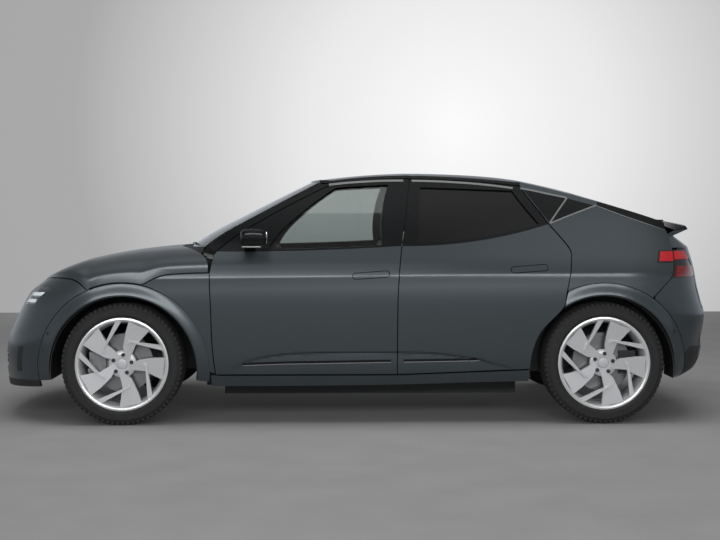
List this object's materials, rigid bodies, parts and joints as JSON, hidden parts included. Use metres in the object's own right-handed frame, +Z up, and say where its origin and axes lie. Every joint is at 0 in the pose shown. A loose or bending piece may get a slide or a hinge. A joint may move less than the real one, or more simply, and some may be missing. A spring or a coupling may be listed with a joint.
{
  "type": "electric crossover",
  "caption": "Family electric crossover with a sloping roof, clamshell hood, flush door handles, hinged doors and lids, turning wheels and steered front axle.",
  "frame": {"origin": "on the ground under the middle of the overall box", "axes": "front is -X, left side is -Y, +Z is up"},
  "size_m": [4.5138, 2.0832, 1.5353],
  "materials": {
    "body_paint": "satin",
    "gloss_black": "gloss",
    "clear_glass": "polished",
    "dark_glass": "polished",
    "black_plastic": "matte",
    "lamp_lens": "clear",
    "lamp_red": "gloss",
    "under_steel": "matte",
    "pack_case": "matte",
    "seat_cover": "satin",
    "wheel_rim": "satin",
    "alloy": "machined",
    "rubber": "matte",
    "disc_iron": "machined"
  },
  "bodies": {
    "body": {"floor_pan": "under_steel", "battery_pack": "pack_case", "drive_units": "pack_case", "front_axle": "under_steel", "rear_axle": "under_steel", "front_tub": "black_plastic", "side_frame_l": "gloss_black", "side_frame_r": "gloss_black", "quarter_l": "body_paint", "quarter_r": "body_paint", "quarter_glass": "dark_glass", "fender_l": "body_paint", "fender_r": "body_paint", "sill_l": "body_paint", "sill_r": "body_paint", "arches_l": "body_paint", "arches_r": "body_paint", "wheel_liners": "black_plastic", "roof": "gloss_black", "windscreen": "clear_glass", "cowl": "black_plastic", "front_bumper": "body_paint", "lower_grille": "black_plastic", "headlamps": "lamp_lens", "rear_bumper": "body_paint", "tail_lamps": "lamp_red", "dashboard": "black_plastic", "console": "black_plastic", "front_seats": "seat_cover", "rear_seat": "seat_cover", "steering_wheel": "wheel_rim"},
    "hood": {"hood": "body_paint"},
    "tailgate": {"tailgate": "body_paint", "tailgate_glass": "dark_glass"},
    "door_fl": {"door_fl": "body_paint", "glass_fl": "clear_glass", "mirror_l": "gloss_black"},
    "door_fr": {"door_fr": "body_paint", "glass_fr": "clear_glass", "mirror_r": "gloss_black"},
    "door_rl": {"door_rl": "body_paint", "glass_rl": "dark_glass"},
    "door_rr": {"door_rr": "body_paint", "glass_rr": "dark_glass"},
    "knuckle_l": {"knuckle_l": "pack_case"},
    "knuckle_r": {"knuckle_r": "pack_case"},
    "wheel_fl": {"rim_fl": "alloy", "tyre_fl": "rubber", "disc_fl": "disc_iron"},
    "wheel_fr": {"rim_fr": "alloy", "tyre_fr": "rubber", "disc_fr": "disc_iron"},
    "wheel_rl": {"rim_rl": "alloy", "tyre_rl": "rubber", "disc_rl": "disc_iron"},
    "wheel_rr": {"rim_rr": "alloy", "tyre_rr": "rubber", "disc_rr": "disc_iron"}
  },
  "joints": [
    {"name": "hood_hinge", "type": "hinge", "parent": "body", "child": "hood", "pos_m": [-0.888, 0, 1.035], "axis": [0, 1, 0], "range_deg": [0, 50]},
    {"name": "tailgate_hinge", "type": "hinge", "parent": "body", "child": "tailgate", "pos_m": [1.373, 0, 1.42], "axis": [0, -1, 0], "range_deg": [0, 75]},
    {"name": "door_fl_hinge", "type": "hinge", "parent": "body", "child": "door_fl", "pos_m": [-0.851, -0.928, 0.7], "axis": [0, 0, -1], "range_deg": [0, 68]},
    {"name": "door_fr_hinge", "type": "hinge", "parent": "body", "child": "door_fr", "pos_m": [-0.851, 0.928, 0.7], "axis": [0, 0, 1], "range_deg": [0, 68]},
    {"name": "door_rl_hinge", "type": "hinge", "parent": "body", "child": "door_rl", "pos_m": [0.277, -0.9315, 0.7], "axis": [0, 0, -1], "range_deg": [0, 68]},
    {"name": "door_rr_hinge", "type": "hinge", "parent": "body", "child": "door_rr", "pos_m": [0.277, 0.9315, 0.7], "axis": [0, 0, 1], "range_deg": [0, 68]},
    {"name": "steer_l", "type": "hinge", "parent": "body", "child": "knuckle_l", "pos_m": [-1.4125, -0.755, 0.365], "axis": [0, 0, 1], "range_deg": [-35, 35]},
    {"name": "steer_r", "type": "hinge", "parent": "body", "child": "knuckle_r", "pos_m": [-1.4125, 0.755, 0.365], "axis": [0, 0, 1], "range_deg": [-35, 35]},
    {"name": "spin_fl", "type": "hinge", "parent": "knuckle_l", "child": "wheel_fl", "pos_m": [-1.4125, -0.805, 0.365], "axis": [0, 1, 0], "continuous": true},
    {"name": "spin_fr", "type": "hinge", "parent": "knuckle_r", "child": "wheel_fr", "pos_m": [-1.4125, 0.805, 0.365], "axis": [0, 1, 0], "continuous": true},
    {"name": "spin_rl", "type": "hinge", "parent": "body", "child": "wheel_rl", "pos_m": [1.4875, -0.805, 0.365], "axis": [0, 1, 0], "continuous": true},
    {"name": "spin_rr", "type": "hinge", "parent": "body", "child": "wheel_rr", "pos_m": [1.4875, 0.805, 0.365], "axis": [0, 1, 0], "continuous": true}
  ],
  "couplings": [
    {"joint": "steer_r", "follows": "steer_l", "ratio": 1}
  ]
}
